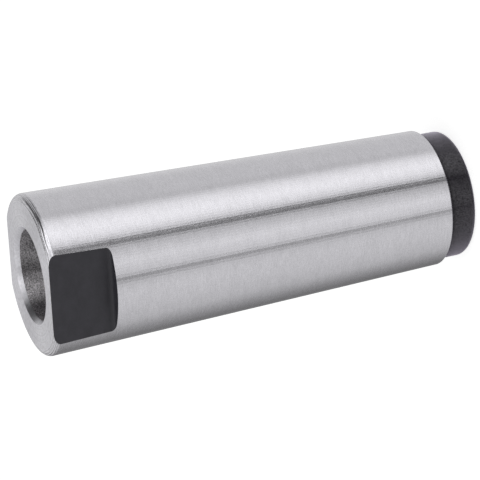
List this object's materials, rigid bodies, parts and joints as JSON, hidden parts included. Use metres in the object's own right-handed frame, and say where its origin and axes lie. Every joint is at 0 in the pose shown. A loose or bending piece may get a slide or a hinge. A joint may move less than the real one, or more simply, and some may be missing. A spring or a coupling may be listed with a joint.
{
  "type": "morse taper sleeve",
  "caption": "Short reducing sleeve: a ground taper outside, a tapered socket inside, a drawbar thread in the small end, and two spanner flats at the mouth.",
  "frame": {"origin": "centre of the small end's face, which the sleeve stands on", "axes": "+Z along the taper's axis, from the small end to the mouth of the socket; the two spanner flats face -Y and +Y"},
  "size_m": [0.0316, 0.031, 0.0885],
  "materials": {
    "ground_steel": "hardened steel, ground round the taper, with a matte black finish on the flats and the small end's shoulder"
  },
  "bodies": {
    "root": {"sleeve": "ground_steel"}
  },
  "joints": []
}
